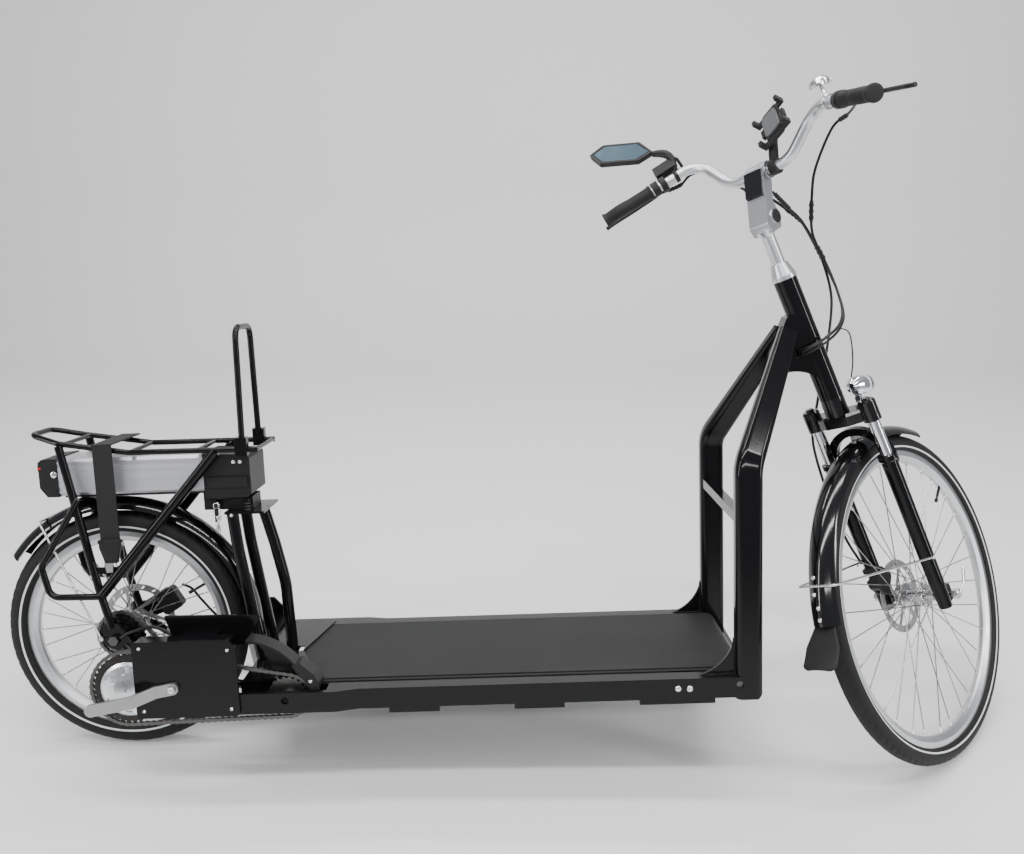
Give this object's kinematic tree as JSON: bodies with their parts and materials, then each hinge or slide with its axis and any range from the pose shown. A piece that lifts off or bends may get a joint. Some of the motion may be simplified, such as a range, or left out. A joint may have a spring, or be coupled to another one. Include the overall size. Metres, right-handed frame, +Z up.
{
  "type": "electric walking bike",
  "caption": "Electric walking bike: a walking belt in a low deck between two wheels in line, with tall steering posts, rack, battery and stand legs, parked on its side stand.",
  "frame": {"origin": "on the floor, in the middle of the parked bike's bounding box", "axes": "+X forwards along the bike, +Y to the rider's left, +Z up from the floor; the bike leans to its left on its side stand"},
  "size_m": [2.2689, 0.7783, 1.3926],
  "materials": {
    "black_paint": "gloss",
    "black_plastic": "satin",
    "silver": "satin",
    "steel": "satin",
    "chrome": "polished",
    "tyre": "matte",
    "belt_rubber": "matte",
    "strap_rubber": "matte",
    "bed_board": "matte",
    "clear_glass": "polished",
    "display_glass": "gloss"
  },
  "bodies": {
    "frame": {"deck_frame": "black_paint", "side_plates": "black_paint", "walking_belt": "belt_rubber", "belt_rollers": "steel", "belt_bed": "bed_board", "front_frame": "black_paint", "rear_frame": "black_paint", "battery_stand": "black_paint", "rear_mudguard": "black_paint", "rack": "black_paint", "rack_loop": "black_paint", "battery_body": "silver", "battery_caps": "black_plastic", "battery_dock": "black_plastic", "luggage_strap": "strap_rubber", "apron_strip": "black_plastic", "crank_set": "steel", "drive_chain": "steel", "wheel_chain": "steel", "rear_axle": "steel", "rear_caliper": "black_plastic"},
    "rear_wheel_body": {"rear_tyre": "tyre", "rear_wheel": "silver"},
    "steering": {"fork": "black_paint", "fork_lowers": "black_paint", "front_axle": "steel", "front_caliper": "black_plastic", "front_mudguard": "black_paint", "mudguard_flap": "strap_rubber", "headlight": "chrome", "headlight_lens": "clear_glass", "stem": "silver", "display": "display_glass", "handlebar": "silver", "grips": "strap_rubber", "brake_levers": "black_plastic", "control_unit": "black_plastic", "bell": "chrome", "rear_view_mirror": "black_plastic", "phone_holder": "black_plastic"},
    "front_wheel_body": {"front_tyre": "tyre", "front_wheel": "silver"},
    "left_stand_body": {"left_stand": "silver"},
    "right_stand_body": {"right_stand": "silver"}
  },
  "joints": [
    {"name": "rear_wheel_spin", "type": "hinge", "parent": "frame", "child": "rear_wheel_body", "pos_m": [-0.873, -0.09834, 0.25638], "axis": [0.0075, 0.9763, -0.2164], "continuous": true},
    {"name": "steering_turn", "type": "hinge", "parent": "frame", "child": "steering", "pos_m": [0.6423, 0.00047, 0.75476], "axis": [-0.401, 0.2012, 0.8937], "range_deg": [-88, 0]},
    {"name": "front_wheel_spin", "type": "hinge", "parent": "steering", "child": "front_wheel_body", "pos_m": [0.85421, -0.07913, 0.32284], "axis": [-0.6309, 0.6466, -0.4287], "continuous": true},
    {"name": "left_stand_swing", "type": "hinge", "parent": "frame", "child": "left_stand_body", "pos_m": [-0.69771, 0.11147, 0.16466], "axis": [0.0075, 0.9763, -0.2164], "range_deg": [0, 90.1]},
    {"name": "right_stand_swing", "type": "hinge", "parent": "frame", "child": "right_stand_body", "pos_m": [-0.70111, -0.32981, 0.26249], "axis": [0.0075, 0.9763, -0.2164], "range_deg": [-90.1, 0]}
  ]
}
